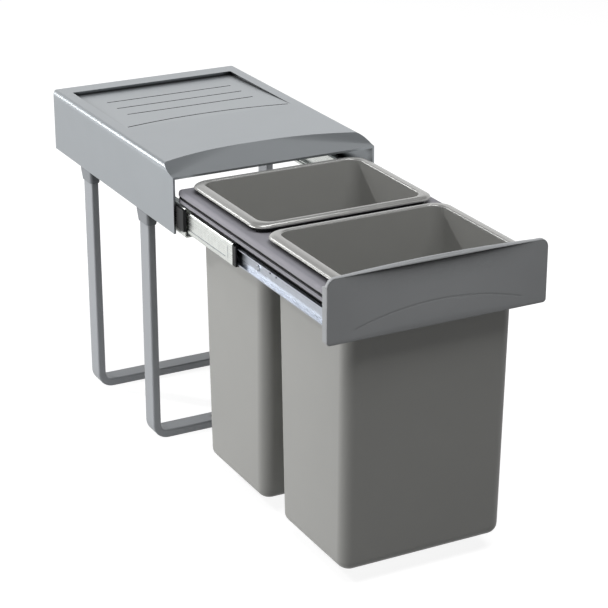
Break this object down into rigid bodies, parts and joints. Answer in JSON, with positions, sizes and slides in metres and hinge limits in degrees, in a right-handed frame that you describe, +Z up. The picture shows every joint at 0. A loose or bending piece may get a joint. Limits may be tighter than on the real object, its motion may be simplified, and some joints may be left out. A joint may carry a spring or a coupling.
{
  "type": "pull-out bin frame",
  "caption": "Pull-out waste bin unit for a kitchen base cabinet: covered frame on U-shaped legs, ball-bearing slides, and a sliding bin carrier with front panel and lift-out tapered bins.",
  "frame": {"origin": "on the cabinet floor, at the centre of the four floor screw holes in the two legs", "axes": "+X to the right seen from the front, +Y to the rear of the cabinet along the slides, +Z up; stored fully open, at the slides' stop"},
  "size_m": [0.258, 0.734, 0.368],
  "materials": {
    "cover_plastic": "satin, fine grain",
    "panel_plastic": "satin, fine grain",
    "frame_plastic": "satin",
    "bin_plastic": "satin, glossy rim",
    "bracket_plastic": "satin",
    "black_plastic": "satin",
    "leg_paint": "powder coated",
    "zinc_steel": "bright zinc plated",
    "cage_steel": "zinc plated",
    "ball_steel": "polished"
  },
  "bodies": {
    "fixed_frame": {"cover": "cover_plastic", "front_leg": "leg_paint", "rear_leg": "leg_paint", "front_left_bracket": "bracket_plastic", "front_right_bracket": "bracket_plastic", "rear_left_bracket": "bracket_plastic", "rear_right_bracket": "bracket_plastic", "left_outer_rail": "zinc_steel", "right_outer_rail": "zinc_steel", "left_bumper": "black_plastic", "right_bumper": "black_plastic", "bracket_rivets": "zinc_steel"},
    "outer_cages": {"left_outer_cage": "cage_steel", "right_outer_cage": "cage_steel", "left_outer_balls": "ball_steel", "right_outer_balls": "ball_steel"},
    "middle_rails": {"left_middle_rail": "zinc_steel", "right_middle_rail": "zinc_steel", "left_middle_stop": "black_plastic", "right_middle_stop": "black_plastic"},
    "inner_cages": {"left_inner_cage": "cage_steel", "right_inner_cage": "cage_steel", "left_inner_balls": "ball_steel", "right_inner_balls": "ball_steel"},
    "drawer": {"left_inner_rail": "zinc_steel", "right_inner_rail": "zinc_steel", "inner_rail_rivets": "zinc_steel", "bin_frame": "frame_plastic", "front_panel": "panel_plastic", "panel_screws": "zinc_steel"},
    "front_bin": {"front_bin": "bin_plastic"},
    "rear_bin": {"rear_bin": "bin_plastic"}
  },
  "joints": [
    {"name": "drawer_slide", "type": "slide", "parent": "fixed_frame", "child": "drawer", "axis": [0, 1, 0], "range_m": [0, 0.3325]},
    {"name": "middle_rail_slide", "type": "slide", "parent": "fixed_frame", "child": "middle_rails", "axis": [0, 1, 0], "range_m": [0, 0.16625]},
    {"name": "outer_cage_slide", "type": "slide", "parent": "fixed_frame", "child": "outer_cages", "axis": [0, 1, 0], "range_m": [0, 0.08313]},
    {"name": "inner_cage_slide", "type": "slide", "parent": "fixed_frame", "child": "inner_cages", "axis": [0, 1, 0], "range_m": [0, 0.24938]},
    {"name": "front_bin_lift", "type": "slide", "parent": "drawer", "child": "front_bin", "axis": [0, 0, 1], "range_m": [0, 0.36]},
    {"name": "rear_bin_lift", "type": "slide", "parent": "drawer", "child": "rear_bin", "axis": [0, 0, 1], "range_m": [0, 0.36]}
  ],
  "couplings": [
    {"joint": "middle_rail_slide", "follows": "drawer_slide", "ratio": 0.5},
    {"joint": "outer_cage_slide", "follows": "drawer_slide", "ratio": 0.25},
    {"joint": "inner_cage_slide", "follows": "drawer_slide", "ratio": 0.75}
  ]
}
